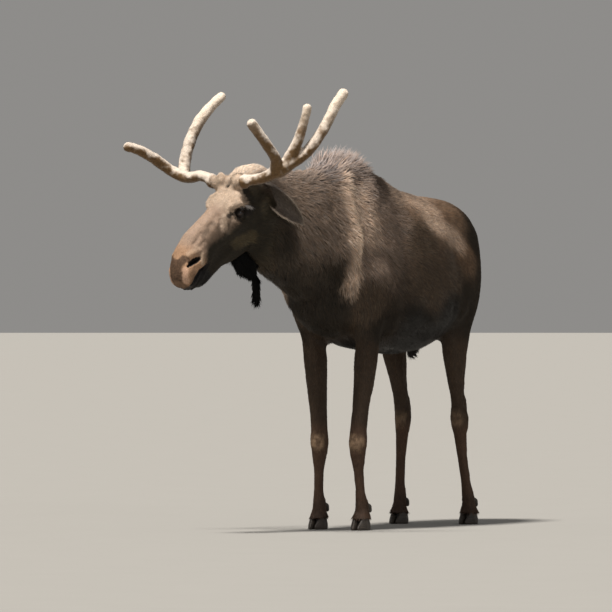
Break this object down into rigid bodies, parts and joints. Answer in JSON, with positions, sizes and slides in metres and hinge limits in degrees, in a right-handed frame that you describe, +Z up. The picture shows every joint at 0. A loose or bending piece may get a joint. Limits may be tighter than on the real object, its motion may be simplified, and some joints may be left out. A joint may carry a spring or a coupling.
{
  "type": "moose",
  "caption": "Life-size standing bull moose with antlers in velvet, head lowered and turned a little aside, long muzzle, throat bell and maned shoulder hump.",
  "frame": {"origin": "on the floor, under the middle of the box around the whole animal, antlers included", "axes": "+Z up, -Y the way the trunk and nose point, +X the animal's left side"},
  "size_m": [1.1926, 2.655, 2.2477],
  "materials": {
    "coat": "rough grey-brown fur with paler tips",
    "face_coat": "short tan-grey fur",
    "leg_coat": "short dark reddish-brown fur",
    "black_coat": "long near-black hair",
    "antler_velvet": "tan velvet over growing antler",
    "hoof_horn": "dark dull horn",
    "eye": "wet dark brown"
  },
  "bodies": {
    "root": {"antler_left_beam": "antler_velvet", "antler_left_front_tine": "antler_velvet", "antler_left_middle_tine": "antler_velvet", "antler_left_rear_tine": "antler_velvet", "antler_right_beam": "antler_velvet", "antler_right_front_tine": "antler_velvet", "antler_right_rear_tine": "antler_velvet", "bell": "black_coat", "dewclaw_front_left_inner": "hoof_horn", "dewclaw_front_left_outer": "hoof_horn", "dewclaw_front_right_inner": "hoof_horn", "dewclaw_front_right_outer": "hoof_horn", "dewclaw_hind_left_inner": "hoof_horn", "dewclaw_hind_left_outer": "hoof_horn", "dewclaw_hind_right_inner": "hoof_horn", "dewclaw_hind_right_outer": "hoof_horn", "ear_left": "coat", "ear_right": "coat", "eye_left": "eye", "eye_right": "eye", "head": "face_coat", "hoof_front_left_inner": "hoof_horn", "hoof_front_left_outer": "hoof_horn", "hoof_front_right_inner": "hoof_horn", "hoof_front_right_outer": "hoof_horn", "hoof_hind_left_inner": "hoof_horn", "hoof_hind_left_outer": "hoof_horn", "hoof_hind_right_inner": "hoof_horn", "hoof_hind_right_outer": "hoof_horn", "leg_front_left_lower": "leg_coat", "leg_front_left_upper": "leg_coat", "leg_front_right_lower": "leg_coat", "leg_front_right_upper": "leg_coat", "leg_hind_left_lower": "leg_coat", "leg_hind_left_upper": "leg_coat", "leg_hind_right_lower": "leg_coat", "leg_hind_right_upper": "leg_coat", "lower_jaw": "face_coat", "neck": "coat", "tail": "black_coat", "trunk": "coat"}
  },
  "joints": []
}
